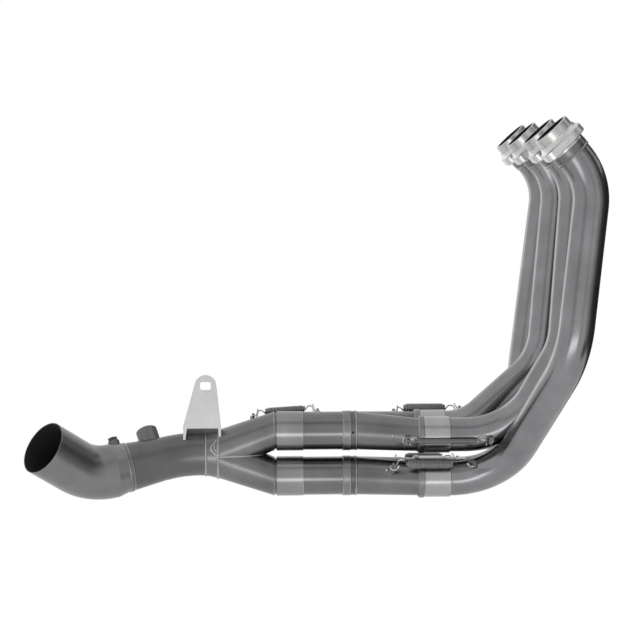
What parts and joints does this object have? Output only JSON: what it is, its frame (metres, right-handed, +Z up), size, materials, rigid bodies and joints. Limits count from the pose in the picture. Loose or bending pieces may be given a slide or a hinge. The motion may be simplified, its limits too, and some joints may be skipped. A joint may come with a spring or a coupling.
{
  "type": "motorcycle exhaust header",
  "caption": "Exhaust header for a four-cylinder motorcycle: separate port tubes join in pairs and then into one tail pipe; slip joints are held by springs.",
  "frame": {"origin": "middle of the row of exhaust ports, on the plane of their gaskets", "axes": "+X forward on the motorcycle, +Y to the side away from the viewer, +Z up; the tail pipe's mouth faces rearward, up and to -Y"},
  "size_m": [0.6228, 0.334, 0.4236],
  "materials": {
    "header_tube": "satin brushed",
    "port_collar": "turned",
    "port_flange": "bead blasted",
    "sleeve": "brushed",
    "spring": "dull wire",
    "anchor": "satin",
    "formed_sheet": "satin brushed",
    "secondary_tube": "satin brushed",
    "collector": "satin brushed",
    "boss": "satin turned",
    "plug": "dark satin",
    "bracket": "satin"
  },
  "bodies": {
    "root": {"header_tube_4": "header_tube", "port_collar_4": "port_collar", "port_flange_4": "port_flange", "header_sleeve_4": "sleeve", "inlet_ring_4": "sleeve", "header_spring_4": "spring", "header_hook_4": "anchor", "merge_hook_4": "anchor", "header_tube_3": "header_tube", "port_collar_3": "port_collar", "port_flange_3": "port_flange", "header_sleeve_3": "sleeve", "inlet_ring_3": "sleeve", "header_spring_3": "spring", "header_hook_3": "anchor", "merge_hook_3": "anchor", "header_tube_2": "header_tube", "port_collar_2": "port_collar", "port_flange_2": "port_flange", "header_sleeve_2": "sleeve", "inlet_ring_2": "sleeve", "header_spring_2": "spring", "header_hook_2": "anchor", "merge_hook_2": "anchor", "header_tube_1": "header_tube", "port_collar_1": "port_collar", "port_flange_1": "port_flange", "header_sleeve_1": "sleeve", "inlet_ring_1": "sleeve", "header_spring_1": "spring", "header_hook_1": "anchor", "merge_hook_1": "anchor", "upper_merge": "formed_sheet", "y_branch_upper": "formed_sheet", "upper_weld_band": "formed_sheet", "upper_end_ring": "sleeve", "upper_secondary_sleeve": "sleeve", "upper_secondary_tube": "secondary_tube", "upper_secondary_spring": "spring", "upper_front_hook": "anchor", "upper_rear_hook": "anchor", "lower_merge": "formed_sheet", "y_branch_lower": "formed_sheet", "lower_weld_band": "formed_sheet", "lower_end_ring": "sleeve", "lower_secondary_sleeve": "sleeve", "lower_secondary_tube": "secondary_tube", "lower_secondary_spring": "spring", "lower_front_hook": "anchor", "lower_rear_hook": "anchor", "y_collar": "formed_sheet", "collector_tube": "collector", "tail_pipe": "collector", "collector_ring": "sleeve", "lambda_boss": "boss", "test_port_boss": "boss", "test_port_plug": "plug", "frame_bracket": "bracket"}
  },
  "joints": []
}
